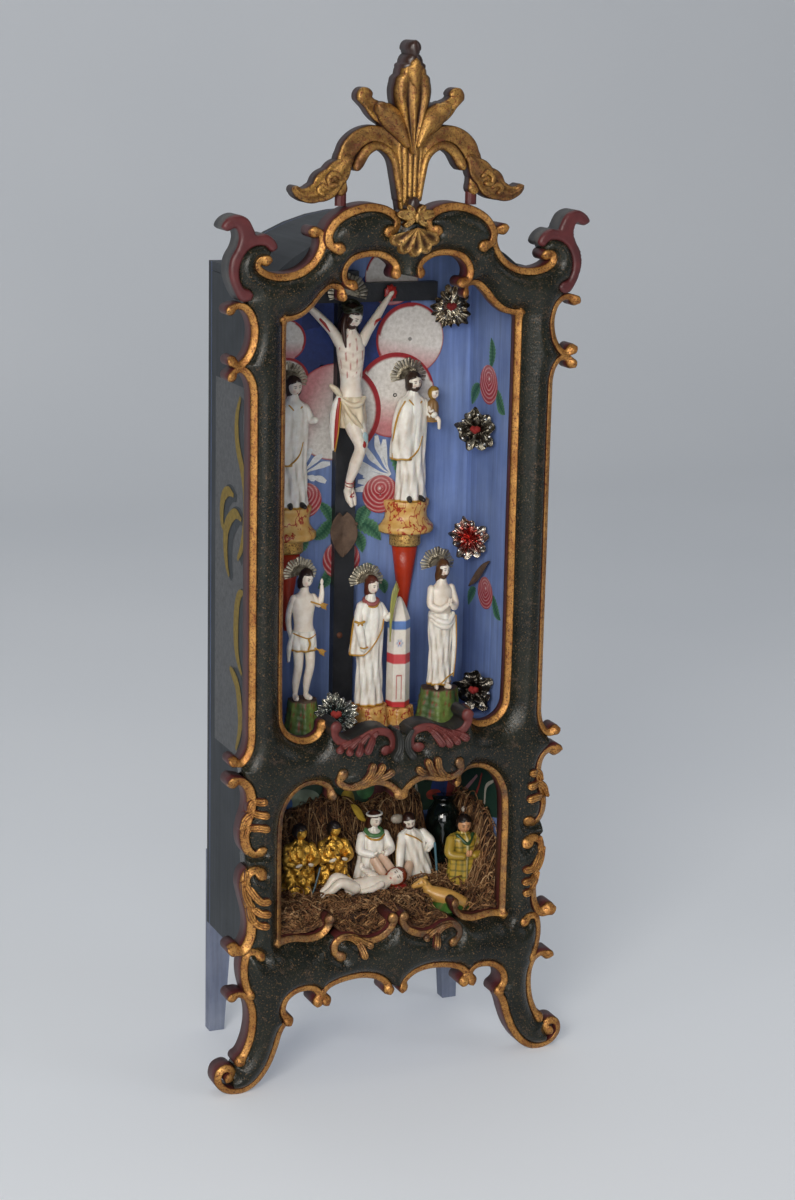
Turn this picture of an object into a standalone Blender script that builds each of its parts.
"""Painted oratory case with a carved front frame, gilded mouldings, two niches and their figures.

Sizes here are millimetres, turned to metres where a mesh is made. X runs across the front, Y from
front to back and Z up from the floor. The drawing takes the frame's face as Y = 0, and every mesh is
then moved so that the origin lies on the floor under the middle of the object's depth.
"""

import math

import bpy
import numpy as np
from mathutils import Vector
from mathutils.geometry import delaunay_2d_cdt

for old in list(bpy.data.objects):
    bpy.data.objects.remove(old, do_unlink=True)

MM = 0.001
FIT_GAP = 0.3

# Front frame: the carving pattern is drawn once and stretched to the width and height wanted.
PATTERN_WIDTH = 262.0
PATTERN_HEIGHT = 602.0
FRONT_WIDTH = 262.0
FRONT_HEIGHT = 602.0
STILE_PLACE = 105.6
FRAME_DEPTH = 16.0
FIELD_BULGE = 4.6
FIELD_ROUND = 11.0
FIELD_GROOVE = 0.8
FIELD_STEP = 14.0
EDGE_WIDTH = 4.5
HEAD_WIDTH = 5.2
LEAF_WIDTH = 5.2
LEAF_TIP_WIDTH = 4.2
RIM_WIDTH = 4.3
SPRAY_WIDTH = 4.2
LINK_WIDTH = 3.4
CURVE_TOLERANCE = 0.5

# How far each moulding's face lies behind Y = 0: first beside the field, then at its free edge.
HEAD_FACE = (-4.0, -2.5)
SHOULDER_FACE = (0.0, 2.0)
EDGE_FACE = (1.2, 4.1)
LEG_FACE = (0.0, 2.5)
APRON_FACE = (-3.0, -1.0)
RIM_FACE = (7.0, 10.6)
LOW_RIM_FACE = (5.0, 8.0)
SPRAY_FACE = (-4.0, -3.0)
EAR_FACE = -1.0
LINK_FACE = 6.0
ARCH_RIM_FACE = (2.0, 4.0)
TIP_FACE = 0.0
SHELL_PROUD = 12.0
SHELL_ROUND = 3.5

# Case behind the frame.
SIDE_THICKNESS = 8.0
SIDE_INSET = 5.6
CASE_DEPTH = 95.0
BACK_THICKNESS = 6.0
ROOF_THICKNESS = 6.0
ROOF_RISE = 34.0
ROOF_LEDGE = 12.0
CASE_BOTTOM = 85.0
SHOULDER_HEIGHT = 556.0
FLOOR_THICKNESS = 8.0
SHELF_HEIGHT = 235.0
SHELF_THICKNESS = 8.0
REAR_LEG_THICKNESS = 9.7
REAR_LEG_INSET = 2.5
REAR_LEG_LAP = 51.0
REAR_LEG_TOP_WIDTH = 17.0
REAR_LEG_FOOT_WIDTH = 11.0

# Crest that stands on the frame's top.
CREST_FACE = 5.0
CREST_THICKNESS = 9.0
CREST_RELIEF = 3.0
PEG_RADIUS = 3.8
PEG_SPREAD = 45.8

# Cross and the brackets on the back wall.
CROSS_CENTRE = -4.0
CROSS_WIDTH = 15.0
CROSS_THICKNESS = 7.5
CROSS_TOP = 548.0
CROSS_ARM_LOW = 526.5
CROSS_ARM_HEIGHT = 13.0
CROSS_ARM_REACH = 66.5
BRACKET_TOP = 386.0
BRACKET_SPREAD = 44.5
BRACKET_RADIUS = 17.0
BRACKET_RIM_RADIUS = 20.5
BRACKET_BLOCK_RADIUS = 11.5
BRACKET_CAP_HEIGHT = 23.0
BRACKET_BLOCK_HEIGHT = 10.0
PENDANT_HEIGHT = 57.0

# Carved figures and their dressing.
SAINT_HEIGHT = 91.0
SAINT_DEPTH_PLACE = 58.0
HALO_RADIUS = 11.0
HALO_THICKNESS = 1.2
HALO_RAYS = 8
HALO_DIP = 12.0
HALO_NOTCH = 0.82
HALO_DROP = 0.065
ROSETTE_RADIUS = 14.5
ROSETTE_THICKNESS = 5.0
ARM_ROSETTE_OUT = 9.5
ARM_ROSETTE_DROP = 5.0
SHELF_ROSETTE_X = -31.0
SHELF_ROSETTE_FORWARD = 16.0
LEAF_MIDDLE = 363.0
LEAF_ASIDE = 2.0
LEAF_LENGTH = 30.0
LEAF_SPREAD = 21.0
LEAF_THICKNESS = 1.6
TOWER_WIDTH = 17.0
TOWER_HEIGHT = 78.0
ROCK_HEIGHT = 24.0
LOW_ROCK_HEIGHT = 16.0
TOWER_ROCK_SHARE = 0.8
ROCK_TOP_SHARE = 0.74
ARROW_ROCK_SIZE = (26.0, 28.0)
BEARDED_ROCK_SIZE = (34.0, 30.0)
PALM_ROCK_SIZE = (29.0, 28.0)
TOWER_ROCK_SIZE = (23.0, 24.0)
ARROW_SAINT_X = -49.0
PALM_SAINT_X = 0.0
BEARDED_SAINT_X = 53.5
TOWER_X = 22.8
HANGING_HEIGHT = 140.0
MOSS_HEIGHT = 22.0
MOSS_STEP = 9.0
MOSS_STEP_PLACE = 40.0
MOSS_BANK = 72.0
MOSS_BANK_DEPTH = 24.0
MOSS_BANK_END = 54.0
MOSS_BANK_FADE = 12.0
MOSS_BANK_WAVE = 17.0
MOSS_STEP_RUN = 6.0
INFANT_SCALE = 1.0
LAMB_SCALE = 1.0
LAMB_X = 46.0
INFANT_DEPTH_PLACE = 47.0
LAMB_DEPTH_PLACE = 27.0
JAR_HEIGHT = 52.0
JAR_RADIUS = 13.5
JAR_X = 73.0
JAR_CENTRE_FROM_BACK = 17.0

# Values worked out from the sizes above.
stretch_x = FRONT_WIDTH / PATTERN_WIDTH
stretch_z = FRONT_HEIGHT / PATTERN_HEIGHT
case_front = FRAME_DEPTH + FIT_GAP
case_back = FRAME_DEPTH + CASE_DEPTH
back_face = case_back - BACK_THICKNESS
leg_back = case_back + FIT_GAP + REAR_LEG_THICKNESS
shift_y = -(leg_back - SHELL_PROUD) / 2
case_half = STILE_PLACE * stretch_x - SIDE_INSET
inner_half = case_half - SIDE_THICKNESS
case_bottom = CASE_BOTTOM * stretch_z
shoulder = SHOULDER_HEIGHT * stretch_z
crown = shoulder + ROOF_RISE
shelf_top = SHELF_HEIGHT * stretch_z
floor_top = case_bottom + FLOOR_THICKNESS
cross_face = back_face - FIT_GAP - CROSS_THICKNESS
cross_x = CROSS_CENTRE * stretch_x
arm_low = CROSS_ARM_LOW * stretch_z
bracket_top = BRACKET_TOP * stretch_z
arm_reach = CROSS_ARM_REACH * stretch_x


def finish(name, hex_colour, roughness, metallic=0.0):
    """A Principled material with one colour, given as an sRGB hex value."""
    channels = [int(hex_colour[i:i + 2], 16) / 255 for i in (0, 2, 4)]
    linear = [c / 12.92 if c <= 0.04045 else ((c + 0.055) / 1.055) ** 2.4 for c in channels]
    material = bpy.data.materials.new(name)
    material.use_nodes = True
    shader = material.node_tree.nodes["Principled BSDF"]
    shader.inputs["Base Color"].default_value = (*linear, 1.0)
    shader.inputs["Roughness"].default_value = roughness
    shader.inputs["Metallic"].default_value = metallic
    return material


DARK_PAINT = finish("dark_green_paint", "2A302B", 0.45)
GILDING = finish("worn_gilding", "B08038", 0.4, 0.6)
RED_PAINT = finish("red_paint", "6B2A2A", 0.55)
SLATE_PAINT = finish("slate_paint", "50565E", 0.6)
BLUE_PAINT = finish("blue_paint", "5168A0", 0.6)
CROSS_PAINT = finish("black_paint", "232427", 0.5)
CALCITE = finish("painted_calcite", "E8E2D8", 0.4)
OCHRE = finish("ochre_marbling", "D8A95A", 0.5)
ROCK_PAINT = finish("green_rock_paint", "5C7A3A", 0.6)
HALO_METAL = finish("tarnished_halo_metal", "7C7264", 0.4, 0.8)
TINSEL = finish("tinsel", "4A4640", 0.3, 0.6)
DRY_LEAF = finish("dry_leaf", "5B4A3C", 0.7)
MOSS = finish("dried_moss", "6B4A30", 0.9)
GOLD_FIGURE = finish("gilded_figure", "B8903A", 0.3, 0.8)
PLAID_PAINT = finish("yellow_paint", "B8902A", 0.5)
LAMB_PAINT = finish("lamb_paint", "D9A55A", 0.5)
GLASS_DARK = finish("dark_glaze", "1C1A18", 0.15)


def make(name, points, faces, material, origin=(0.0, 0.0, 0.0)):
    """One object from points in millimetres, with its own origin at the given drawing point."""
    points = (np.asarray(points, float) - origin) * MM
    mesh = bpy.data.meshes.new(name)
    mesh.from_pydata(points.tolist(), [], [list(map(int, face)) for face in faces])
    mesh.materials.append(material)
    mesh.shade_smooth()
    mesh.set_sharp_from_angle(angle=math.radians(38))
    obj = bpy.data.objects.new(name, mesh)
    obj.location = (origin[0] * MM, (origin[1] + shift_y) * MM, origin[2] * MM)
    bpy.context.scene.collection.objects.link(obj)
    return obj


def join(name, bodies, material):
    """One object that is the union of closed bodies, each a pair of points and faces."""
    base = make(name, *bodies[0], material)
    for number, body in enumerate(bodies[1:]):
        other = make(f"{name}_piece_{number}", *body, material)
        union = base.modifiers.new("union", "BOOLEAN")
        union.operation = "UNION"
        union.solver = "EXACT"
        union.use_self = True
        union.object = other
        graph = bpy.context.evaluated_depsgraph_get()
        joined = bpy.data.meshes.new_from_object(base.evaluated_get(graph))
        base.modifiers.clear()
        base.data = joined
        bpy.data.objects.remove(other, do_unlink=True)
    return base


def drawn(points):
    """Pattern points stretched to the wanted front; any further columns are left as they are."""
    points = np.array(points, float)
    points[:, 0] *= stretch_x
    points[:, 1] *= stretch_z
    return points


def mirrored(points):
    """The same points on the other side of the middle line."""
    return np.asarray(points, float) * np.array([-1.0] + [1.0] * (len(points[0]) - 1))


def smooth(points):
    """A centripetal Catmull-Rom curve through the points, thinned so that no chord strays from it by much."""
    points = np.asarray(points, float)
    ends = np.vstack([2 * points[0] - points[1], points, 2 * points[-1] - points[-2]])
    fine = [points[:1]]
    for a, b, c, d in zip(ends, ends[1:], ends[2:], ends[3:]):
        knots = np.cumsum([0.0] + [math.sqrt(np.linalg.norm((q - p)[:2])) for p, q in ((a, b), (b, c), (c, d))])
        t = np.linspace(knots[1], knots[2], 17)[1:, None]
        ab = a + (b - a) * (t - knots[0]) / (knots[1] - knots[0])
        bc = b + (c - b) * (t - knots[1]) / (knots[2] - knots[1])
        cd = c + (d - c) * (t - knots[2]) / (knots[3] - knots[2])
        first = ab + (bc - ab) * (t - knots[0]) / (knots[2] - knots[0])
        second = bc + (cd - bc) * (t - knots[1]) / (knots[3] - knots[1])
        fine.append(first + (second - first) * (t - knots[1]) / (knots[2] - knots[1]))
    fine = np.vstack(fine)
    kept = [0]
    for i in range(2, len(fine)):
        start, span = fine[kept[-1]], fine[i] - fine[kept[-1]]
        between = fine[kept[-1] + 1:i] - start
        share = between @ span / (span @ span)
        if np.linalg.norm(between - share[:, None] * span, axis=1).max() > CURVE_TOLERANCE:
            kept.append(i - 1)
    return fine[kept + [len(fine) - 1]]


def band(points, width, grow=0.0):
    """The two edges of a strip along a curve, rounded at both ends; a third column gives local widths."""
    path = smooth(points)
    half = path[:, 2] / 2 if path.shape[1] > 2 else np.full(len(path), width / 2)
    half = half + grow
    centre = path[:, :2]
    way = np.gradient(centre, axis=0)
    way /= np.linalg.norm(way, axis=1)[:, None]
    for end, sign in ((0, -1), (-1, 1)):
        caps = np.radians([52.0])
        extra = centre[end] + sign * way[end] * half[end] * np.sin(caps)[:, None]
        narrow = half[end] * np.cos(caps)
        ways = way[[end]]
        if sign < 0:
            centre = np.vstack([extra[::-1], centre])
            half = np.concatenate([narrow[::-1], half])
            way = np.vstack([ways, way])
        else:
            centre = np.vstack([centre, extra])
            half = np.concatenate([half, narrow])
            way = np.vstack([way, ways])
    side = np.column_stack([-way[:, 1], way[:, 0]]) * half[:, None]
    return centre + side, centre - side


def inside(polygon, points):
    """Which points lie in a polygon, by winding number."""
    a = np.asarray(polygon)[:, None, :]
    b = np.roll(np.asarray(polygon), -1, axis=0)[:, None, :]
    p = np.asarray(points)[None, :, :]
    edge, ray = b - a, p - a
    cross = edge[..., 0] * ray[..., 1] - ray[..., 0] * edge[..., 1]
    up = (a[..., 1] <= p[..., 1]) & (b[..., 1] > p[..., 1]) & (cross > 0)
    down = (a[..., 1] > p[..., 1]) & (b[..., 1] <= p[..., 1]) & (cross < 0)
    return up.sum(axis=0) != down.sum(axis=0)


def triangles(loops, loose=()):
    """Constrained Delaunay triangles over closed loops and loose points: points and corner numbers."""
    points = [Vector(p) for loop in loops for p in loop] + [Vector(p) for p in loose]
    edges = []
    for loop in loops:
        first = len(edges)
        edges += [(first + i, first + (i + 1) % len(loop)) for i in range(len(loop))]
    found = delaunay_2d_cdt(points, edges, [], 0, 1e-4)
    return np.array([tuple(p) for p in found[0]]), np.array(found[2])


def rim_edges(corners):
    """The directed edges that belong to one triangle only."""
    edges = np.concatenate([corners[:, [0, 1]], corners[:, [1, 2]], corners[:, [2, 0]]])
    known = set(map(tuple, edges))
    return [(i, j) for i, j in known if (j, i) not in known]


def slab(points, front_faces, front_y, back_y, back_faces):
    """A closed body over flat triangles: a front surface, a back surface and the wall between them."""
    count = len(points)
    front = np.column_stack([points[:, 0], front_y, points[:, 1]])
    back = np.column_stack([points[:, 0], back_y, points[:, 1]])
    walls = [(i, i + count, j + count, j) for i, j in rim_edges(front_faces)]
    faces = [tuple(f) for f in front_faces] + [tuple(f[::-1] + count) for f in back_faces] + walls
    used = sorted({i for face in faces for i in face})
    number = {old: new for new, old in enumerate(used)}
    return np.vstack([front, back])[used], [[number[i] for i in face] for face in faces]


def carved(shapes, back, ridge=()):
    """The union of flat shapes as one closed body; a shape is its outline and the depth of each point.

    A ridge is a list of points inside the shapes, each with its own depth as the third value.
    """
    loops = [outline for outline, _ in shapes]
    ridge = np.array(ridge, float).reshape(-1, 3)
    points, corners = triangles(loops, ridge[:, :2])
    middles = points[corners].mean(axis=1)
    corners = corners[np.any([inside(loop, middles) for loop in loops], axis=0)]
    outline = np.vstack(loops + [ridge[:, :2]])
    depths = np.concatenate([depth for _, depth in shapes] + [ridge[:, 2]])
    nearest = np.linalg.norm(points[:, None] - outline[None], axis=2).argmin(axis=1)
    return slab(points, corners, depths[nearest], np.full(len(points), back), corners)


def prism(outline, axis, low, high):
    """A flat outline pushed along an axis; the outline's two columns are the other axes in order."""
    points, corners = triangles([np.asarray(outline, float)])
    corners = corners[inside(outline, points[corners].mean(axis=1))]
    others = [i for i in range(3) if i != axis]
    bottom = np.zeros((len(points), 3))
    bottom[:, others] = points
    bottom[:, axis] = low
    top = bottom.copy()
    top[:, axis] = high
    count = len(points)
    walls = [(j, j + count, i + count, i) for i, j in rim_edges(corners)]
    faces = [tuple(f[::-1]) for f in corners] + [tuple(f + count) for f in corners] + walls
    if axis == 1:
        faces = [face[::-1] for face in faces]
    return np.vstack([bottom, top]), faces


def box(low, high):
    """A rectangular block between two corners."""
    outline = [(low[0], low[1]), (high[0], low[1]), (high[0], high[1]), (low[0], high[1])]
    return prism(outline, 2, low[2], high[2])


def loft(rings):
    """A closed body through rings of equally many points, bottom ring first, anticlockwise from above."""
    rings = np.asarray(rings, float)
    rows, count = rings.shape[:2]
    points = np.vstack([rings.reshape(-1, 3), rings[0].mean(axis=0), rings[-1].mean(axis=0)])
    faces = []
    for k in range(rows - 1):
        for i in range(count):
            j = (i + 1) % count
            faces.append((k * count + i, k * count + j, (k + 1) * count + j, (k + 1) * count + i))
    last = (rows - 1) * count
    faces += [((i + 1) % count, i, rows * count) for i in range(count)]
    faces += [(last + i, last + (i + 1) % count, rows * count + 1) for i in range(count)]
    return points, faces


def turned(levels, sides=8, start=0.0):
    """A loft of level ellipses, each given as centre x, y, z and half widths across and in depth."""
    angle = start + np.arange(sides) * 2 * math.pi / sides
    rings = []
    for x, y, z, across, deep in levels:
        rings.append(np.column_stack([x + across * np.cos(angle), y + deep * np.sin(angle), np.full(sides, z)]))
    return loft(rings)


def limb(points, radii, sides=5):
    """A tapering tube through the points, rounded at its far end."""
    points = np.asarray(points, float)
    radii = np.asarray(radii, float)
    way = np.gradient(points, axis=0)
    way /= np.linalg.norm(way, axis=1)[:, None]
    points = np.vstack([points, points[-1] + way[-1] * radii[-1] * 0.7])
    radii = np.append(radii, radii[-1] * 0.55)
    way = np.vstack([way, way[-1:]])
    guide = np.array([0.0, 1.0, 0.0]) if abs(way.mean(axis=0)[1]) < 0.8 else np.array([1.0, 0.0, 0.0])
    first = np.cross(way, guide)
    first /= np.linalg.norm(first, axis=1)[:, None]
    second = np.cross(way, first)
    angle = np.arange(sides) * 2 * math.pi / sides
    rings = points[:, None] + radii[:, None, None] * (
        first[:, None] * np.cos(angle)[None, :, None] + second[:, None] * np.sin(angle)[None, :, None])
    return loft(rings)


# The carving pattern, right half: curves through the middle of each strip, as across and up.
TOP_SCROLL = [(51, 573.5), (56.5, 575.5), (58, 582), (53.5, 590), (44, 596.2), (30.5, 599.4), (18, 597.3),
              (10.8, 591.5), (11.8, 585.5), (16.5, 583.8)]
SHOULDER_SCROLL = [(66.5, 584), (61.8, 582.5), (60.6, 575.5), (65.5, 565.5), (74.5, 558.5), (87, 555.7),
                   (98, 557.7), (103.8, 562.3), (102.8, 566.6), (98.7, 566.6)]
SIDE_SCROLL = [(121.8, 535.5), (118, 537.8), (113, 537.3), (108.5, 533), (106, 526), (STILE_PLACE, 519),
               (107.5, 510), (111.5, 503.2), (116, 500.2), (120.8, 503)]
STILE = [(120.8, 493), (117.5, 496.8), (113, 497), (108.5, 492), (106, 484), (STILE_PLACE, 470),
         (STILE_PLACE, 366), (STILE_PLACE, 262), (106, 248), (108.5, 240), (113, 235.3), (118.3, 237)]
LEAF_SCROLL = [(118.5, 222.8), (113.5, 223), (108.8, 219), (106.3, 212), (106.5, 203), (109.5, 193),
               (110.8, 184), (108.8, 175.5), (103.8, 170.6), (99.0, 172.2)]
LOW_LEAF_SCROLL = [(98.5, 157.3), (103, 160.5), (108.5, 158), (110.7, 151), (109, 141), (106.5, 131),
                   (105.3, 121), (107, 110.5), (111.5, 104), (118, 105.8)]
KNEE_SCROLL = [(98.5, 98.5), (102.8, 102), (107.8, 101.3), (110, 94.5), (110.2, 86), (108.8, 78), (106.5, 71)]
LEG_SCROLL = [(118.5, 71), (113.5, 72.3), (107.8, 69), (104.6, 61), (104, 50), (106, 38), (110, 28.5),
              (113, 24.2)]
FOOT_SCROLL = [(79, 49.5), (84, 41), (87.5, 30), (92.5, 18), (100.5, 7.5), (109, 2.6), (117, 2.3),
               (124.5, 5.5), (128.7, 12), (127, 18.5), (121.5, 20.3), (117.8, 16.5), (120.4, 13)]
APRON_ARC = [(79, 50), (83, 57), (81, 65), (74, 70.5), (65, 71.8), (59.5, 70), (56.8, 66), (58, 61)]
APRON_MIDDLE = [(51.5, 61), (53.8, 66), (50.5, 70.5), (44, 73.5), (35, 75.3), (25, 75.7), (14.5, 73.3),
                (7, 67.5), (5.5, 62.5)]
RIM_SHOULDER = [(43.8, 541.5), (45.4, 547), (51.5, 548.3), (58, 543.5), (65, 535.5), (73, 529.8), (84.2, 527.3)]
RIM_SIDE = [(83.2, 528.2), (83.2, 400), (83.2, 268), (82.3, 257), (78, 249.8), (70, 245.2), (62, 245),
            (56, 248.8), (53.5, 255)]
RIM_ARCH = [(38.5, 549.3), (43.2, 551.6), (44.2, 558.5), (39, 566), (27, 569.3), (16, 567.5), (8.8, 561.5),
            (8.8, 556.2)]
LOW_RIM_SIDE = [(83.6, 103.6), (83.7, 140), (83.7, 180), (82, 196), (76, 207.5), (66, 214.5), (56, 215),
                (48.8, 211), (46.6, 204.8)]
LOW_RIM_SPRAY = [(43, 222.3), (44.8, 217), (39, 212.8), (29, 212.3), (18, 214.5), (9.5, 212), (3.0, 206.5),
                 (1.6, 204)]
LOW_RIM_FOOT = [(84.6, 104.8), (73, 105.8), (61, 104.2), (53, 106), (48, 111), (47, 116.3)]
LOW_RIM_DROP = [(42.2, 92.2), (46.3, 95.5), (46.5, 101), (41.5, 105.5), (34, 105.2), (27, 101.8), (20, 100.7),
                (12, 102.8), (5.5, 107.8), (1.8, 115)]
MID_SPRAY = [(48.5, 255), (49.3, 249.5), (45.8, 243.4), (38, 240.8), (29, 242.5), (22, 246.3), (14.5, 247.3),
             (8, 244.8), (5.2, 239.8), (7, 235.3), (11, 235.8)]
LEAF_TIPS = [[(106, 207), (102.5, 205.8), (98.8, 207.8)], [(107.5, 199), (102.5, 196.6), (97.8, 198.8)],
             [(109, 191), (103.5, 188), (98, 190)]]
LOW_LEAF_TIPS = [[(109, 145), (104.5, 139), (98.5, 138.5)], [(107, 136), (103, 130.5), (98, 129.8)],
                 [(106, 127), (103, 121.5), (99, 119.8)]]
LOW_SPRAY_TIPS = [[(22, 213.5), (25.8, 219), (27.2, 225.5)], [(16, 214), (19, 219), (20.6, 224)],
                  [(10.5, 212.5), (13.3, 216.5), (14.6, 220.5)]]
MID_SPRAY_TIPS = [[(41, 241.5), (38.5, 238.5), (37, 236.2)], [(35, 241), (32.3, 237), (31, 234.6)],
                  [(29.5, 242.3), (27, 238), (25.2, 235.6)]]
DROP_TIPS = [[(28, 102.3), (28.6, 96), (27, 90)], [(21.5, 100.7), (20.6, 97.5), (19.3, 95)]]
STILE_LINKS = [[(112.2, 236), (112.4, 223)], [(109, 174), (109.6, 166), (109.3, 158)],
               [(108, 101), (108.6, 108)]]
RIM_LINK = [(46, 547), (43.3, 552)]
LOW_RIM_LINKS = [[(48.5, 211), (42, 213.6)], [(52, 106.5), (45, 103)]]

# The ear is a red horn: its outline, and the line of the field that runs in under it.
EAR = [(107, 545.5), (109.5, 541.6), (115.5, 541.2), (121, 549), (124, 559), (123, 568), (118.7, 576),
       (117.5, 582), (119.8, 587.2), (125, 585.5), (129, 588), (126, 593), (119, 595.8), (111.5, 593),
       (107.5, 586.5), (106, 583.2), (100, 583.6), (94, 580), (91.5, 574.5), (95.5, 572), (100, 575.4),
       (107, 575.4), (112.5, 571.5), (116.3, 564), (116.8, 556), (114, 549.8), (110.5, 548.8)]
EAR_LINE = [(95, 575.5), (99, 579.3), (106, 579.4), (113, 576.5), (119, 569), (120.6, 559), (117.8, 549),
            (112, 545)]

# The crest, with a local width as the third value.
CREST_STEM = [(0, 594.5, 11), (0, 604, 12), (0, 616, 17), (0, 630, 22), (0, 645, 26), (0, 660, 26),
              (0, 672, 28), (0, 681, 25), (0, 686, 16)]
CREST_KNOB = [(0, 685, 17), (0, 691, 19), (0, 696, 14), (0, 699, 9)]
CREST_ARM = [(4, 624, 10), (9, 635, 14), (23, 641.5, 17), (38, 637.5, 17), (48, 626, 20), (56, 616, 21),
             (64, 609, 15), (72, 606.8, 9), (77.5, 609, 6.5)]
CREST_LEAF = [(6, 642, 12), (13, 652, 16), (22, 660, 16), (29, 667, 12), (32.5, 671, 8)]

# The gilded shell between the two head scrolls: points of its crown, then the right half of its outline.
SHELL_RIDGE = [(0, 574), (-5, 578), (5, 578), (0, 585), (-4, 591), (4, 591)]
SHELL = [(0, 567.5), (5, 570), (9.5, 571.5), (14.5, 578), (10, 581.5), (8.5, 586), (11.5, 592), (8, 597),
         (3.5, 596.5), (0, 600)]


def strip(points, width, face, grow=0.0):
    """A band's outline with a depth for each point: one depth beside the field, one at the free edge."""
    left, right = band(points, width, grow)
    field_is_left = inside(frame_outline, left).sum() > inside(frame_outline, right).sum()
    depths = [face[0] if field_is_left else face[1], face[1] if field_is_left else face[0]]
    outline = np.vstack([left, right[::-1]])
    outline[:, 1] = np.maximum(outline[:, 1], 0.0)
    return outline, np.repeat(depths, len(left))


def both_sides(curve):
    """A pattern curve and its mirror image, both stretched to the front."""
    right = drawn(curve)
    return [right, mirrored(right)]


def half_line(*stretches):
    """Pattern points of the right half, end to end; each stretch is a curve and the points to use."""
    points = np.vstack([np.asarray(curve, float)[part, :2] for curve, part in stretches])
    return drawn(points)


def closed_line(half):
    """A closed outline from its right half, listed from the top middle to the bottom middle."""
    return np.vstack([half, mirrored(half)[::-1]])


frame_outline = closed_line(half_line(
    ([(0, 589)], slice(0, 1)), (TOP_SCROLL, slice(7, 1, -1)), (SHOULDER_SCROLL, slice(2, None)),
    (EAR_LINE, slice(0, None)), (SIDE_SCROLL, slice(3, 8)), (STILE, slice(2, 11)), (LEAF_SCROLL, slice(2, 8)),
    (LOW_LEAF_SCROLL, slice(2, 9)), (KNEE_SCROLL, slice(3, 6)), (LEG_SCROLL, slice(2, None)),
    ([(119, 15)], slice(0, 1)), (FOOT_SCROLL, slice(6, None, -1)), (APRON_ARC, slice(1, 6)),
    (APRON_MIDDLE, slice(2, 8)), ([(0, 66)], slice(0, 1))))
upper_window = closed_line(half_line(
    ([(0, 555)], slice(0, 1)), (RIM_ARCH, slice(7, 0, -1)), (RIM_SHOULDER, slice(2, 6)),
    (RIM_SIDE, slice(0, 8)), (MID_SPRAY, slice(1, 8)), ([(0, 247)], slice(0, 1))))
lower_window = closed_line(half_line(
    ([(0, 206)], slice(0, 1)), (LOW_RIM_SPRAY, slice(5, 1, -1)), (LOW_RIM_SIDE, slice(7, None, -1)),
    (LOW_RIM_FOOT, slice(1, 4)), (LOW_RIM_DROP, slice(3, 9)), ([(0, 110)], slice(0, 1))))

# Each moulding as a list of curves with their width and face.
EDGE_CURVES = [(SIDE_SCROLL, EDGE_WIDTH, EDGE_FACE), (STILE, EDGE_WIDTH, EDGE_FACE),
               (LEAF_SCROLL, LEAF_WIDTH, EDGE_FACE), (LOW_LEAF_SCROLL, LEAF_WIDTH, EDGE_FACE),
               (KNEE_SCROLL, EDGE_WIDTH, LEG_FACE), (LEG_SCROLL, EDGE_WIDTH, LEG_FACE)]
EDGE_CURVES += [(tip, LEAF_TIP_WIDTH, (TIP_FACE, TIP_FACE)) for tip in LEAF_TIPS + LOW_LEAF_TIPS]
EDGE_CURVES += [(link, LINK_WIDTH, (LINK_FACE, LINK_FACE)) for link in STILE_LINKS]
HEAD_CURVES = [(TOP_SCROLL, HEAD_WIDTH, HEAD_FACE), (SHOULDER_SCROLL, EDGE_WIDTH, SHOULDER_FACE)]
UPPER_RIM_CURVES = [(RIM_SHOULDER, RIM_WIDTH, RIM_FACE), (RIM_SIDE, RIM_WIDTH, RIM_FACE),
                    (RIM_ARCH, RIM_WIDTH, ARCH_RIM_FACE), (RIM_LINK, LINK_WIDTH, (LINK_FACE, LINK_FACE))]
LOWER_RIM_CURVES = [(LOW_RIM_SIDE, RIM_WIDTH, LOW_RIM_FACE), (LOW_RIM_SPRAY, SPRAY_WIDTH, SPRAY_FACE),
                    (LOW_RIM_FOOT, RIM_WIDTH, LOW_RIM_FACE), (LOW_RIM_DROP, SPRAY_WIDTH, SPRAY_FACE)]
LOWER_RIM_CURVES += [(tip, LEAF_TIP_WIDTH, SPRAY_FACE) for tip in LOW_SPRAY_TIPS + DROP_TIPS]
LOWER_RIM_CURVES += [(link, LINK_WIDTH, (LINK_FACE, LINK_FACE)) for link in LOW_RIM_LINKS]
SPRAY_CURVES = [(MID_SPRAY, SPRAY_WIDTH, SPRAY_FACE)]
SPRAY_CURVES += [(tip, LEAF_TIP_WIDTH, SPRAY_FACE) for tip in MID_SPRAY_TIPS]
APRON_CURVES = [(FOOT_SCROLL, EDGE_WIDTH, LEG_FACE), (APRON_ARC, EDGE_WIDTH, APRON_FACE),
                (APRON_MIDDLE, EDGE_WIDTH, APRON_FACE)]
SPRAY_LINK = [(-6, 243.5), (0, 243.5), (6, 243.5)]
APRON_LINK = [(-7.5, 68.5), (0, 68.5), (7.5, 68.5)]


def shapes_of(curves, sides, links=(), grow=0.0):
    """Strip outlines for a list of curves on one or both sides, and for links across the middle."""
    found = []
    for curve, width, face in curves:
        for line, wanted in zip(both_sides(curve), "RL"):
            if wanted in sides:
                found.append(strip(line, width, face, grow))
    for link in links:
        found.append(strip(drawn(link), LINK_WIDTH, (LINK_FACE, LINK_FACE), grow))
    return found


def ear_shape(sign, grow=0.0):
    """The horn's outline, pushed out by the fit when it is used to cut the field."""
    outline = drawn(EAR) * np.array([sign, 1.0])
    before = outline - np.roll(outline, 1, axis=0)
    after = np.roll(outline, -1, axis=0) - outline
    along = before / np.linalg.norm(before, axis=1)[:, None] + after / np.linalg.norm(after, axis=1)[:, None]
    out = sign * np.column_stack([along[:, 1], -along[:, 0]]) / np.linalg.norm(along, axis=1)[:, None]
    return outline + out * grow, np.full(len(outline), EAR_FACE)


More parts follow.
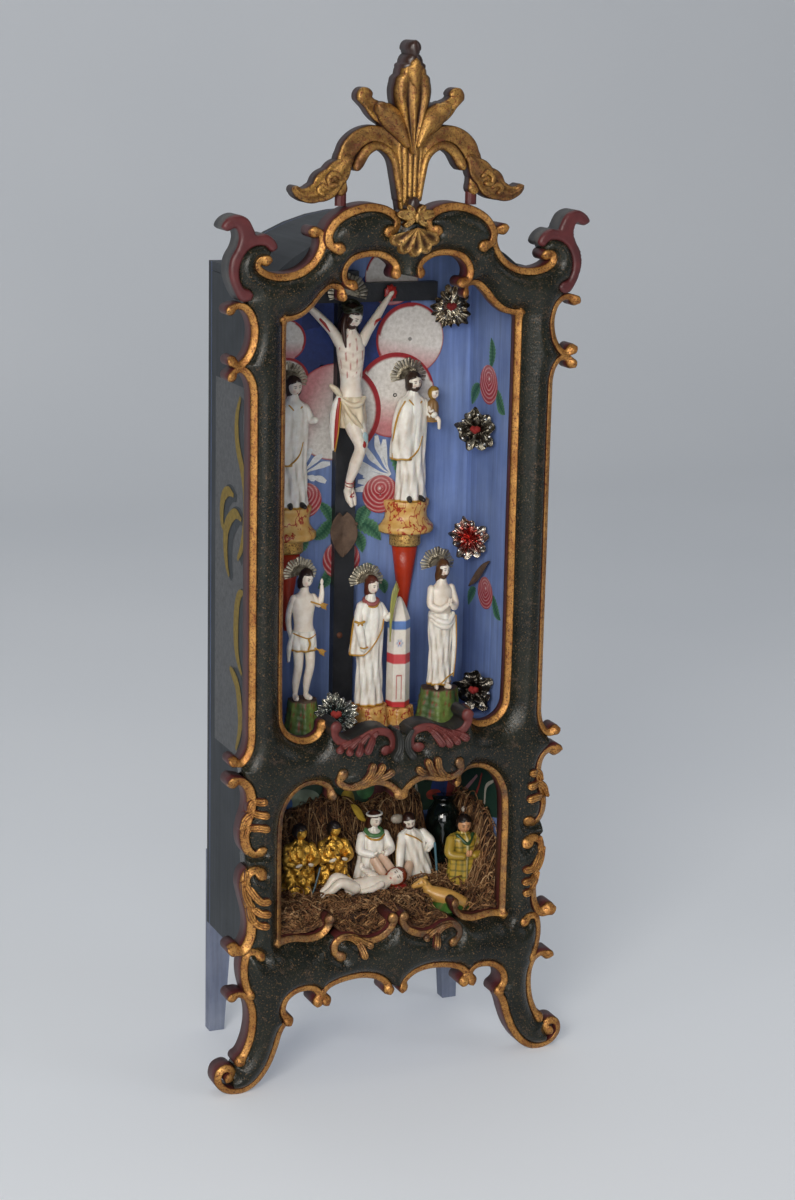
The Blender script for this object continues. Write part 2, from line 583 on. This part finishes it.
MOULDINGS = [
    ("edge_moulding_left", EDGE_CURVES, "L", (), GILDING),
    ("edge_moulding_right", EDGE_CURVES, "R", (), GILDING),
    ("head_moulding_left", HEAD_CURVES, "L", (), GILDING),
    ("head_moulding_right", HEAD_CURVES, "R", (), GILDING),
    ("upper_window_rim_left", UPPER_RIM_CURVES, "L", (), GILDING),
    ("upper_window_rim_right", UPPER_RIM_CURVES, "R", (), GILDING),
    ("lower_window_rim", LOWER_RIM_CURVES, "LR", (), GILDING),
    ("mid_rail_spray", SPRAY_CURVES, "LR", (SPRAY_LINK,), RED_PAINT),
    ("apron_moulding", APRON_CURVES, "LR", (APRON_LINK,), GILDING),
]
for name, curves, sides, links, material in MOULDINGS:
    make(name, *carved(shapes_of(curves, sides, links), FRAME_DEPTH), material)
for name, sign in (("ear_left", -1), ("ear_right", 1)):
    make(name, *carved([ear_shape(sign)], FRAME_DEPTH), RED_PAINT)


def front_field():
    """The dark board: the frame outline less both windows and every moulding, domed between its edges."""
    cuts = [ear_shape(sign, FIT_GAP) for sign in (-1, 1)]
    for _, curves, sides, links, _ in MOULDINGS:
        cuts += shapes_of(curves, sides, links, FIT_GAP)
    loops = [frame_outline, upper_window, lower_window] + [outline for outline, _ in cuts]
    low, high = frame_outline.min(axis=0), frame_outline.max(axis=0)
    rows = np.arange(low[1], high[1], FIELD_STEP * 0.866)
    columns = np.arange(0.5, math.ceil(high[0] / FIELD_STEP) + 1) * FIELD_STEP
    columns = np.concatenate([-columns[::-1], columns])
    grid = np.array([(x + (k % 2 - 0.5) * FIELD_STEP / 2, z) for k, z in enumerate(rows) for x in columns])

    def in_field(points):
        open_ground = inside(frame_outline, points)
        for outline in [upper_window, lower_window] + [outline for outline, _ in cuts]:
            open_ground &= ~inside(outline, points)
        return open_ground

    edges = np.vstack(loops)
    clear = np.array([np.linalg.norm(edges - p, axis=1).min() for p in grid]) > FIELD_STEP * 0.4
    grid = grid[in_field(grid) & clear]
    points, corners = triangles(loops, grid)
    corners = corners[in_field(points[corners].mean(axis=1))]
    corners = largest_piece(corners)

    rim = rim_edges(corners)
    rim_points = sorted({i for edge in rim for i in edge})
    cut_points = np.vstack([outline for outline, _ in cuts])
    cut_depths = np.concatenate([depth for _, depth in cuts])
    nearest = np.linalg.norm(points[rim_points][:, None] - cut_points[None], axis=2).argmin(axis=1)
    rim_depth = cut_depths[nearest] + FIELD_GROOVE
    gap = np.linalg.norm(points[:, None] - points[rim_points][None], axis=2)
    weight = 1 / np.maximum(gap, 0.01) ** 2
    base = (weight * rim_depth).sum(axis=1) / weight.sum(axis=1)
    starts = points[[i for i, _ in rim]]
    spans = points[[j for _, j in rim]] - starts
    share = ((points[:, None] - starts) * spans).sum(axis=2) / np.maximum((spans ** 2).sum(axis=1), 1e-9)
    foot = starts + np.clip(share, 0, 1)[..., None] * spans
    distance = np.linalg.norm(points[:, None] - foot, axis=2).min(axis=1)
    distance[rim_points] = 0.0
    rise = FIELD_BULGE * np.sqrt(1 - (1 - np.minimum(distance / FIELD_ROUND, 1)) ** 2)
    depth = base - rise
    depth[rim_points] = rim_depth
    return slab(points, corners, depth, np.full(len(points), FRAME_DEPTH), back_of(points, rim))


def largest_piece(corners):
    """The triangles of the largest connected group."""
    owner = {}
    for number, triangle in enumerate(corners):
        for i, j in ((0, 1), (1, 2), (2, 0)):
            owner.setdefault(frozenset((triangle[i], triangle[j])), []).append(number)
    beside = [[] for _ in corners]
    for group in owner.values():
        if len(group) == 2:
            beside[group[0]].append(group[1])
            beside[group[1]].append(group[0])
    group_of = np.full(len(corners), -1)
    sizes = []
    for seed in range(len(corners)):
        if group_of[seed] >= 0:
            continue
        waiting = [seed]
        group_of[seed] = len(sizes)
        count = 0
        while waiting:
            current = waiting.pop()
            count += 1
            for other in beside[current]:
                if group_of[other] < 0:
                    group_of[other] = len(sizes)
                    waiting.append(other)
        sizes.append(count)
    return corners[group_of == int(np.argmax(sizes))]


def back_of(points, rim):
    """Triangles over the flat back: the same rim with no points inside it."""
    used = sorted({i for edge in rim for i in edge})
    number = {old: new for new, old in enumerate(used)}
    flat = [Vector(points[i]) for i in used]
    edges = [(number[i], number[j]) for i, j in rim]
    found = delaunay_2d_cdt(flat, edges, [], 0, 1e-6)
    corners = np.array(found[2])
    middles = np.array([tuple(p) for p in found[0]])[corners].mean(axis=1)
    starts = points[[i for i, _ in rim]]
    ends = points[[j for _, j in rim]]
    crossing = (starts[:, None, 1] > middles[None, :, 1]) != (ends[:, None, 1] > middles[None, :, 1])
    rise = np.where(crossing, ends[:, None, 1] - starts[:, None, 1], 1.0)
    at = starts[:, None, 0] + (middles[None, :, 1] - starts[:, None, 1]) * (ends - starts)[:, None, 0] / rise
    odd = (crossing & (at > middles[None, :, 0])).sum(axis=0) % 2 == 1
    return np.array(used)[corners[odd]]


field_points, field_faces = front_field()
make("front_frame", field_points, field_faces, DARK_PAINT)


# Case boards. The roof is a shallow vault with a flat ledge at each side, and the back is cut to it.
arch_half = case_half - ROOF_LEDGE
arch_radius = (arch_half ** 2 + ROOF_RISE ** 2) / (2 * ROOF_RISE)
arch_centre = crown - arch_radius


def arch(radius, spring):
    """Points of the vault from right to left, springing at a given height."""
    reach = math.acos((spring - arch_centre) / radius)
    angle = np.linspace(-reach, reach, 13)
    return np.column_stack([-radius * np.sin(angle), arch_centre + radius * np.cos(angle)])


spring_in = shoulder - ROOF_THICKNESS
roof_top = np.vstack([[(case_half, shoulder)], arch(arch_radius, shoulder), [(-case_half, shoulder)]])
vault_under = arch(arch_radius - ROOF_THICKNESS, spring_in)
roof_under = np.vstack([[(case_half, spring_in)], vault_under, [(-case_half, spring_in)]])
panel_back = back_face - FIT_GAP
make("roof_vault", *prism(np.vstack([roof_top, roof_under[::-1]]), 1, case_front, panel_back), SLATE_PAINT)
back_outline = np.vstack([roof_top, [(-case_half, case_bottom), (case_half, case_bottom)]])
make("back_panel", *prism(back_outline, 1, back_face, case_back), BLUE_PAINT)
for name, sign in (("side_panel_left", -1), ("side_panel_right", 1)):
    near, far = sorted((sign * inner_half, sign * case_half))
    make(name, *box((near, case_front, case_bottom), (far, panel_back, spring_in - FIT_GAP)), SLATE_PAINT)
board_half = inner_half - FIT_GAP
BOARDS = [("floor_board", floor_top, FLOOR_THICKNESS), ("shelf_board", shelf_top, SHELF_THICKNESS)]
for name, top, thickness in BOARDS:
    make(name, *box((-board_half, case_front, top - thickness), (board_half, panel_back, top)), BLUE_PAINT)
for name, sign in (("rear_leg_left", -1), ("rear_leg_right", 1)):
    outer = case_half - REAR_LEG_INSET
    lap_top = case_bottom + REAR_LEG_LAP
    leg = [(outer, 0), (outer, lap_top), (outer - REAR_LEG_TOP_WIDTH, lap_top),
           (outer - REAR_LEG_TOP_WIDTH, case_bottom), (outer - REAR_LEG_FOOT_WIDTH, 0)]
    leg = np.array(leg) * (sign, 1)
    make(name, *prism(leg[::sign], 1, case_back + FIT_GAP, leg_back), SLATE_PAINT)

# Shell between the head scrolls: a scalloped boss, thick in the middle, seated on the field's swell.
shell_half = drawn(SHELL)
shell_line = np.vstack([shell_half, mirrored(shell_half)[-2:0:-1]])
shell_ridge = [(x, z, -SHELL_PROUD) for x, z in drawn(SHELL_RIDGE)]
shell_rim = np.full(len(shell_line), SHELL_ROUND - SHELL_PROUD)
under_shell = field_points[inside(shell_line * (1.5, 1.0), field_points[:, [0, 2]])]
shell_back = min(HEAD_FACE[0], under_shell[:, 1].min()) - FIT_GAP
make("shell_cartouche", *carved([(shell_line, shell_rim)], shell_back, shell_ridge), GILDING)

# Crest: a leafy stem with two arched arms and two side leaves, standing on the frame and on two pegs.
crest_bands = [drawn(CREST_STEM), drawn(CREST_KNOB)]
crest_bands += both_sides(CREST_ARM) + both_sides(CREST_LEAF)
crest_shapes = [strip(line, 0, (CREST_FACE, CREST_FACE)) for line in crest_bands]
crest_ridge = [(x, z, CREST_FACE - CREST_RELIEF) for line in crest_bands for x, z, _ in line[1:-1]]
crest_foot = (0.0, CREST_FACE + CREST_THICKNESS / 2, min(shape[:, 1].min() for shape, _ in crest_shapes))
crest_body = carved(crest_shapes, CREST_FACE + CREST_THICKNESS, crest_ridge)
crest = make("crest", *crest_body, GILDING, crest_foot)


def heights_at(outlines, low, high):
    """Heights of outlines where they pass between two distances across."""
    found = []
    for outline in outlines:
        for p, q in zip(outline, np.roll(outline, -1, axis=0)):
            for x in (low, high):
                if min(p[0], q[0]) <= x <= max(p[0], q[0]) and p[0] != q[0]:
                    found.append(p[1] + (q[1] - p[1]) * (x - p[0]) / (q[0] - p[0]))
            if low <= p[0] <= high:
                found.append(p[1])
    return found


peg_x = PEG_SPREAD * stretch_x
peg_reach = (peg_x - PEG_RADIUS, peg_x + PEG_RADIUS)
peg_low = max(heights_at([shape for shape, _ in shapes_of(HEAD_CURVES, "R")], *peg_reach)) + FIT_GAP
peg_high = min(heights_at([shape for shape, _ in crest_shapes], *peg_reach)) - FIT_GAP
lift_axis = bpy.data.objects.new("crest_lift_axis", None)
lift_axis.location = crest.location
bpy.context.scene.collection.objects.link(lift_axis)
crest.parent = lift_axis
crest.location = (0.0, 0.0, 0.0)
for name, sign in (("crest_peg_left", -1), ("crest_peg_right", 1)):
    ring = (sign * peg_x, crest_foot[1])
    peg = make(name, *turned([(*ring, z, PEG_RADIUS, PEG_RADIUS) for z in (peg_low, peg_high)], 10), RED_PAINT,
               crest_foot)
    peg.parent = lift_axis
    peg.location = (0.0, 0.0, 0.0)

# Cross: two boards half lapped together, fixed to the back and standing on the shelf.
cross_left, cross_right = cross_x - CROSS_WIDTH / 2, cross_x + CROSS_WIDTH / 2
arm_top = arm_low + CROSS_ARM_HEIGHT
lap = cross_face + CROSS_THICKNESS / 2
upright_low = shelf_top + FIT_GAP
upright_top = CROSS_TOP * stretch_z
upright = [(cross_face, upright_low), (panel_back, upright_low), (panel_back, upright_top),
           (cross_face, upright_top), (cross_face, arm_top + FIT_GAP), (lap + FIT_GAP / 2, arm_top + FIT_GAP),
           (lap + FIT_GAP / 2, arm_low - FIT_GAP), (cross_face, arm_low - FIT_GAP)]
make("cross_upright", *prism(upright, 0, cross_left, cross_right), CROSS_PAINT)
arm = [(cross_x - arm_reach, cross_face), (cross_x + arm_reach, cross_face),
       (cross_x + arm_reach, panel_back), (cross_right + FIT_GAP, panel_back),
       (cross_right + FIT_GAP, lap - FIT_GAP / 2), (cross_left - FIT_GAP, lap - FIT_GAP / 2),
       (cross_left - FIT_GAP, panel_back), (cross_x - arm_reach, panel_back)]
make("cross_arm", *prism(arm, 2, arm_low, arm_top), CROSS_PAINT)


def bracket(centre):
    """A half-round bracket against the wall: pendant, block, flared rim, waist and top."""
    levels = [(PENDANT_HEIGHT + BRACKET_BLOCK_HEIGHT + BRACKET_CAP_HEIGHT, 1.5),
              (BRACKET_BLOCK_HEIGHT + BRACKET_CAP_HEIGHT, BRACKET_BLOCK_RADIUS - 2),
              (BRACKET_BLOCK_HEIGHT + BRACKET_CAP_HEIGHT, BRACKET_BLOCK_RADIUS),
              (BRACKET_CAP_HEIGHT, BRACKET_BLOCK_RADIUS), (BRACKET_CAP_HEIGHT, BRACKET_RIM_RADIUS),
              (BRACKET_CAP_HEIGHT * 0.8, BRACKET_RIM_RADIUS), (BRACKET_CAP_HEIGHT * 0.5, BRACKET_RADIUS - 1.5),
              (BRACKET_CAP_HEIGHT * 0.15, BRACKET_RADIUS), (0, BRACKET_RADIUS)]
    angle = np.linspace(math.pi, 2 * math.pi, 8)
    rings = [np.column_stack([centre + r * np.cos(angle), panel_back + r * np.sin(angle),
                              np.full(8, bracket_top - drop)]) for drop, r in levels]
    return loft(rings)


bracket_x = {"left": -BRACKET_SPREAD * stretch_x, "right": BRACKET_SPREAD * stretch_x}
for side, x in bracket_x.items():
    make(f"bracket_{side}", *bracket(x), OCHRE)

# Carved stone figures. Each level is a share of the figure's height: up, across and deep.
ROBE = [(0.0, 0.12, 0.088), (0.3, 0.115, 0.085), (0.55, 0.125, 0.085), (0.72, 0.13, 0.085),
        (0.81, 0.09, 0.065), (0.85, 0.045, 0.045)]
HEAD = [(0.83, 0.045, 0.045), (0.88, 0.066, 0.07), (0.95, 0.064, 0.068), (1.0, 0.03, 0.035)]
TORSO = [(0.44, 0.09, 0.07), (0.5, 0.105, 0.078), (0.57, 0.088, 0.066), (0.75, 0.115, 0.07),
         (0.81, 0.08, 0.055), (0.85, 0.04, 0.042)]
CAPE = [(0.38, 0.1, 0.075), (0.6, 0.11, 0.085), (0.77, 0.07, 0.065)]
CARRIED_CHILD = [(0.62, 0.04, 0.04), (0.7, 0.05, 0.05), (0.78, 0.03, 0.03), (0.83, 0.042, 0.042),
                 (0.87, 0.015, 0.015)]
KNEELER = [(0.0, 0.25, 0.2), (0.3, 0.2, 0.18), (0.55, 0.19, 0.15), (0.68, 0.17, 0.13), (0.74, 0.07, 0.07)]
KNEELER_HEAD = [(0.71, 0.075, 0.075), (0.8, 0.11, 0.115), (0.92, 0.105, 0.11), (1.0, 0.05, 0.05)]
HANGING_TORSO = [(0.42, 0.06, 0.052), (0.5, 0.078, 0.06), (0.58, 0.066, 0.052), (0.72, 0.088, 0.06),
                 (0.82, 0.098, 0.055), (0.86, 0.05, 0.045)]
HANGING_HEAD = [(0.83, 0.03, 0.03), (0.87, 0.052, 0.053), (0.94, 0.052, 0.054), (0.985, 0.025, 0.025)]
HANGING_DRAPE = [(0.28, 0.02, 0.02), (0.4, 0.035, 0.03), (0.58, 0.045, 0.035)]
HEAD_SIDES = 7
HEAD_START = 0.31
ARM_SHARE = 0.032
LEG_SHARE = 0.05
PALM_SHARE = 0.022
HANGING_LEG_SHARE = 0.056
HANGING_ARM_SHARE = 0.03
KNEELER_ARM_SHARE = 0.06


def stack(place, height, shares, sides=8, start=0.0):
    """A body of level ellipses standing at a place, from shares of its height."""
    x, y, z = place
    levels = [(x, y, z + up * height, across * height, deep * height) for up, across, deep in shares]
    return turned(levels, sides, start)


def reach(place, height, joints, thickness=ARM_SHARE):
    """An arm or leg through joints given as shares of the figure's height from its foot."""
    points = np.array(place) + np.array(joints) * height
    return limb(points, np.linspace(thickness, thickness * 0.75, len(joints)) * height)


def beside(place, across, deep=0.0):
    """A place moved across and in depth by shares of a standing figure's height."""
    return (place[0] + across * SAINT_HEIGHT, place[1] + deep * SAINT_HEIGHT, place[2])


def robed(place):
    """A standing robed body with its head."""
    return [stack(place, SAINT_HEIGHT, ROBE), stack(place, SAINT_HEIGHT, HEAD, HEAD_SIDES, HEAD_START)]


def halo(name, place, height, shares, radius):
    """A fan of metal rays seated behind the head whose level shares are given."""
    front = place[1] + max(deep for _, _, deep in shares) * height + FIT_GAP
    middle = place[2] + (shares[-1][0] - HALO_DROP) * height
    rays = np.radians(np.linspace(-HALO_DIP, 180 + HALO_DIP, 2 * HALO_RAYS + 1))
    length = np.where(np.arange(len(rays)) % 2 == 0, radius, radius * HALO_NOTCH)
    fan = np.column_stack([place[0] + length * np.cos(rays), middle + length * np.sin(rays)])
    fan = np.vstack([fan, [(place[0], middle - radius * 0.4)]])
    make(name, *prism(fan, 1, front, front + HALO_THICKNESS), HALO_METAL)


def rock(place, size, height, top_share=ROCK_TOP_SHARE):
    """A nine-sided rock on the shelf under a place, narrower at the top."""
    foot = shelf_top + FIT_GAP
    levels = [(foot, 1.0), (foot + height * 0.4, (1 + top_share) / 2 + 0.06), (foot + height, top_share)]
    return turned([(*place[:2], z, share * size[0] / 2, share * size[1] / 2) for z, share in levels], 9, 0.2)


def on_rock(x, height):
    """Where a figure stands on a rock of a given height."""
    return (x * stretch_x, SAINT_DEPTH_PLACE, shelf_top + height + 2 * FIT_GAP)


arrow_place = on_rock(ARROW_SAINT_X, ROCK_HEIGHT)
palm_place = on_rock(PALM_SAINT_X, LOW_ROCK_HEIGHT)
beard_place = on_rock(BEARDED_SAINT_X, ROCK_HEIGHT)
tower_place = on_rock(TOWER_X, LOW_ROCK_HEIGHT * TOWER_ROCK_SHARE)

# The pierced youth: bare body, loincloth, one hand raised and one hanging.
YOUTH_LEGS = [[(-0.05, 0, 0.48), (-0.045, -0.02, 0.26), (-0.06, 0.02, 0.036)],
              [(0.05, 0, 0.48), (0.07, -0.03, 0.27), (0.035, 0.01, 0.036)]]
YOUTH_ARMS = [[(-0.085, 0, 0.77), (-0.15, 0.015, 0.62), (-0.12, 0.025, 0.47)],
              [(0.08, 0, 0.78), (0.15, -0.03, 0.75), (0.15, -0.06, 0.88)]]
youth = [stack(arrow_place, SAINT_HEIGHT, TORSO)]
youth.append(stack(arrow_place, SAINT_HEIGHT, HEAD, HEAD_SIDES, HEAD_START))
youth += [reach(arrow_place, SAINT_HEIGHT, joints, LEG_SHARE) for joints in YOUTH_LEGS]
youth += [reach(arrow_place, SAINT_HEIGHT, joints) for joints in YOUTH_ARMS]
join("arrow_saint", youth, CALCITE)
halo("arrow_saint_halo", arrow_place, SAINT_HEIGHT, HEAD, HALO_RADIUS)
make("arrow_saint_rock", *rock(arrow_place, ARROW_ROCK_SIZE, ROCK_HEIGHT), ROCK_PAINT)

# The martyr with a palm: long robe, cape over one arm, palm frond held upright.
martyr = robed(palm_place)
martyr.append(stack(beside(palm_place, -0.06), SAINT_HEIGHT, CAPE, 8, 0.2))
martyr.append(reach(palm_place, SAINT_HEIGHT, [(0.09, 0, 0.75), (0.14, -0.04, 0.64), (0.15, -0.1, 0.68)]))
PALM_FROND = [(0.155, -0.1, 0.5), (0.165, -0.1, 0.7), (0.19, -0.09, 0.93)]
martyr.append(reach(palm_place, SAINT_HEIGHT, PALM_FROND, PALM_SHARE))
join("palm_saint", martyr, CALCITE)
halo("palm_saint_halo", palm_place, SAINT_HEIGHT, HEAD, HALO_RADIUS)

# The bearded figure: bare chest, wrapped skirt and joined hands.
elder = robed(beard_place)
elder.append(reach(beard_place, SAINT_HEIGHT, [(-0.11, 0, 0.75), (-0.13, -0.06, 0.62), (0.03, -0.11, 0.66)]))
elder.append(reach(beard_place, SAINT_HEIGHT, [(0.11, 0, 0.75), (0.13, -0.06, 0.62), (0.06, -0.12, 0.71)]))
join("bearded_saint", elder, CALCITE)
halo("bearded_saint_halo", beard_place, SAINT_HEIGHT, HEAD, HALO_RADIUS)
make("bearded_saint_rock", *rock(beard_place, BEARDED_ROCK_SIZE, ROCK_HEIGHT), ROCK_PAINT)

# One ochre rock carries the martyr and, on its lower shoulder, an eight-sided tower.
martyr_rock = rock(palm_place, PALM_ROCK_SIZE, LOW_ROCK_HEIGHT, 0.85)
tower_rock = rock(beside(tower_place, 0, 0.012), TOWER_ROCK_SIZE, LOW_ROCK_HEIGHT * TOWER_ROCK_SHARE, 0.88)
join("palm_saint_rock", [martyr_rock, tower_rock], OCHRE)
TOWER = [(0.0, 0.5, 0.5), (0.79, 0.47, 0.47), (0.9, 0.3, 0.3), (0.97, 0.15, 0.15), (1.0, 0.06, 0.06)]
tower_levels = [(tower_place[0], tower_place[1] + 1.0, tower_place[2] + up * TOWER_HEIGHT, across * TOWER_WIDTH,
                 deep * TOWER_WIDTH) for up, across, deep in TOWER]
make("tower", *turned(tower_levels, 8, math.pi / 8), CALCITE)

# Two figures on the brackets; the right one carries a child.
for side, x in bracket_x.items():
    place = (x, panel_back - 0.1 * SAINT_HEIGHT, bracket_top + FIT_GAP)
    bodies = robed(place)
    bodies.append(stack(beside(place, -0.045), SAINT_HEIGHT, CAPE, 8, 0.2))
    bodies.append(reach(place, SAINT_HEIGHT, [(0.09, 0, 0.75), (0.14, -0.04, 0.64), (0.15, -0.1, 0.66)]))
    if side == "right":
        bodies.append(stack(beside(place, 0.15, -0.03), SAINT_HEIGHT, CARRIED_CHILD, HEAD_SIDES, HEAD_START))
    join(f"bracket_saint_{side}", bodies, CALCITE)
    halo(f"bracket_saint_halo_{side}", place, SAINT_HEIGHT, HEAD, HALO_RADIUS * 1.15)

# The crucified figure, fixed to the cross at the hands and feet.
figure_back = cross_face - FIT_GAP
hang = (cross_x - 1.5, figure_back - 0.067 * HANGING_HEIGHT, arm_low - 0.943 * HANGING_HEIGHT)
bowed = (hang[0] - 0.03 * HANGING_HEIGHT, hang[1] - 0.02 * HANGING_HEIGHT, hang[2])
draped = (hang[0] - 0.1 * HANGING_HEIGHT, hang[1], hang[2])
HANGING_LEGS = [(0, 0, 0.46), (0.03, -0.03, 0.24), (-0.01, 0.01, 0.03), (-0.005, -0.02, -0.03)]
corpus = [stack(hang, HANGING_HEIGHT, HANGING_TORSO)]
corpus.append(stack(bowed, HANGING_HEIGHT, HANGING_HEAD, HEAD_SIDES, HEAD_START))
corpus.append(stack(draped, HANGING_HEIGHT, HANGING_DRAPE, 6, 0.2))
corpus.append(reach(hang, HANGING_HEIGHT, HANGING_LEGS, HANGING_LEG_SHARE))
hand = (figure_back - 0.024 * HANGING_HEIGHT - hang[1]) / HANGING_HEIGHT
for sign, span in ((-1, 0.285), (1, 0.245)):
    arm_joints = [(sign * 0.08, 0, 0.8), (sign * 0.16, 0.005, 0.86), (sign * span, hand, 0.98)]
    corpus.append(reach(hang, HANGING_HEIGHT, arm_joints, HANGING_ARM_SHARE))
join("crucified_figure", corpus, CALCITE)
halo("crucified_figure_halo", bowed, HANGING_HEIGHT, HANGING_HEAD, HALO_RADIUS * 1.2)

# Pressed tinsel rosettes: each ring is a share of the thickness and of the radius.
ROSETTE = [(0.0, 0.85), (0.25, 1.0), (0.6, 0.7), (1.0, 0.2)]
FACING_FRONT = np.array([(1, 0, 0), (0, 0, 1), (0, -1, 0)])
FACING_LEFT = np.array([(0, -1, 0), (0, 0, 1), (-1, 0, 0)])


def rosette(name, centre, turn):
    """A scalloped disc with its back at the centre point."""
    angle = np.arange(16) * math.pi / 8
    scallop = np.where(np.arange(16) % 2 == 0, 1.0, 0.88)
    rings = []
    for out, share in ROSETTE:
        radius = ROSETTE_RADIUS * share * scallop
        rise = np.full(16, out * ROSETTE_THICKNESS)
        ring = np.column_stack([radius * np.cos(angle), radius * np.sin(angle), rise])
        rings.append(ring @ turn + np.array(centre))
    make(name, *loft(rings), TINSEL)


WALL_ROSETTES = [("rosette_wall_top", 67.0, 439.0), ("rosette_wall_middle", 74.0, 360.5),
                 ("rosette_wall_low", 58.0, 254.0)]
for name, y, z in WALL_ROSETTES:
    rosette(name, (board_half, y, z * stretch_z), FACING_LEFT)
arm_end = cross_x + arm_reach
rosette("rosette_cross_arm", (arm_end + ARM_ROSETTE_OUT, figure_back, arm_low - ARM_ROSETTE_DROP), FACING_FRONT)
shelf_rosette = (SHELF_ROSETTE_X * stretch_x, SAINT_DEPTH_PLACE - SHELF_ROSETTE_FORWARD)
rosette("rosette_shelf", (*shelf_rosette, shelf_top + FIT_GAP + ROSETTE_RADIUS), FACING_FRONT)

# A dry leaf fixed to the cross: an oval drawn out to a tip below.
leaf_angle = np.linspace(0, 2 * math.pi, 14, endpoint=False)
leaf_across = LEAF_SPREAD / 2 * np.sin(leaf_angle) * (1 + 0.25 * np.cos(leaf_angle))
leaf_up = LEAF_MIDDLE * stretch_z + LEAF_LENGTH / 2 * np.cos(leaf_angle)
leaf = np.column_stack([cross_x - LEAF_ASIDE + leaf_across, leaf_up])
make("dry_leaf", *prism(leaf[::-1], 1, figure_back - LEAF_THICKNESS, figure_back), DRY_LEAF)

# Lower niche: a bed of dried moss, lower at the front and banked up at the back on the left.
moss_low = floor_top + FIT_GAP
moss_top = moss_low + MOSS_HEIGHT
moss_half = board_half - FIT_GAP
moss_back = panel_back - FIT_GAP
bank_front = moss_back - MOSS_BANK_DEPTH
moss_columns = np.linspace(-moss_half, moss_half, 11)
moss_rows = [(case_front + FIT_GAP, -MOSS_STEP), (MOSS_STEP_PLACE - MOSS_STEP_RUN, -MOSS_STEP),
             (MOSS_STEP_PLACE, 0.0), (bank_front, 0.0), (bank_front + MOSS_BANK_DEPTH * 0.3, 0.45 * MOSS_BANK),
             (bank_front + MOSS_BANK_DEPTH * 0.6, 0.8 * MOSS_BANK), (moss_back, MOSS_BANK)]
moss_rings = []
for x in moss_columns:
    fade = min(max((MOSS_BANK_END * stretch_x - x) / MOSS_BANK_FADE, 0.0), 1.0)
    bank = fade * (0.85 + 0.15 * math.cos(x / MOSS_BANK_WAVE))
    ring = [(x, y, moss_top + (rise * bank if rise > 0 else rise)) for y, rise in moss_rows]
    moss_rings.append([(x, case_front + FIT_GAP, moss_low), (x, moss_back, moss_low)] + ring[::-1])
make("moss_bed", *loft(moss_rings), MOSS)


def kneeler(name, x, y, height, material):
    """A kneeling figure on the moss with both hands brought forward."""
    place = (x * stretch_x, y, moss_top + FIT_GAP)
    bodies = [stack(place, height, KNEELER), stack(place, height, KNEELER_HEAD, HEAD_SIDES, HEAD_START)]
    for sign in (-1, 1):
        joints = [(sign * 0.14, 0, 0.64), (sign * 0.19, -0.1, 0.5), (sign * 0.06, -0.24, 0.52)]
        bodies.append(reach(place, height, joints, KNEELER_ARM_SHARE))
    join(name, bodies, material)


KNEELERS = [("king_left", -49.0, 62.0, 52.0, GOLD_FIGURE), ("king_right", -22.0, 66.0, 50.0, GOLD_FIGURE),
            ("mother", 9.0, 67.0, 54.0, CALCITE), ("carpenter", 44.0, 67.0, 48.0, CALCITE),
            ("shepherd", 75.0, 58.0, 43.0, PLAID_PAINT)]
for name, x, y, height, material in KNEELERS:
    kneeler(name, x, y, height, material)

# The infant lies on the moss with the head to the right; points are along, deep and up from the bed.
cradle = np.array([0.0, INFANT_DEPTH_PLACE, moss_top + FIT_GAP])
INFANT = [([(-14, 0, 5.2), (-4, 0, 5.4), (8, 0, 5.2)], [5.5, 6.0, 5.0], 7),
          ([(8, 0, 5.5), (16, 0, 7.2), (22, 0, 7.2)], [3.5, 6.6, 5.0], 7),
          ([(-11, -2.6, 6), (-24, -3, 9.5), (-35, -3, 4.5)], [4.2, 3.4, 2.6], 5),
          ([(-11, 2.6, 6), (-25, 3, 5.5), (-34, 3, 4)], [4.2, 3.4, 2.6], 5),
          ([(4, -3, 9), (-3, -4, 12), (-8, -3, 13)], [2.8, 2.4, 2.0], 5)]


def limbs(base, parts, scale):
    """One tube for each part of a small body, with points and radii in millimetres at scale one."""
    tubes = []
    for points, radii, sides in parts:
        tubes.append(limb(base + np.array(points) * scale, np.array(radii) * scale, sides))
    return tubes


join("infant", limbs(cradle, INFANT, INFANT_SCALE), CALCITE)

# The lamb stands on its own small mound at the front of the moss.
fold = np.array([LAMB_X * stretch_x, LAMB_DEPTH_PLACE, moss_top - MOSS_STEP + FIT_GAP])
MOUND = [(0.0, 15.0, 6.3), (4.0, 12.0, 5.0)]
mound = stack(fold, LAMB_SCALE, MOUND, 10)
LAMB = [([(9, 0, 7), (-1, 0, 9.5), (-9, 0, 12)], [4.0, 4.8, 3.6], 7),
        ([(-8, 0, 12), (-12, 0, 17), (-16, -1, 16)], [2.9, 3.2, 2.2], 6)]
join("lamb", [mound] + limbs(fold, LAMB, LAMB_SCALE), LAMB_PAINT)

# A dark glazed jar at the back right corner.
JAR = [(0.0, 0.66), (0.15, 0.92), (0.5, 1.0), (0.8, 0.85), (0.93, 0.55), (1.0, 0.62)]
jar_place = (JAR_X * stretch_x, panel_back - JAR_CENTRE_FROM_BACK)
jar_levels = []
for up, share in JAR:
    radius = share * JAR_RADIUS
    jar_levels.append((*jar_place, moss_top + FIT_GAP + up * JAR_HEIGHT, radius, radius))
make("dark_jar", *turned(jar_levels, 12), GLASS_DARK)
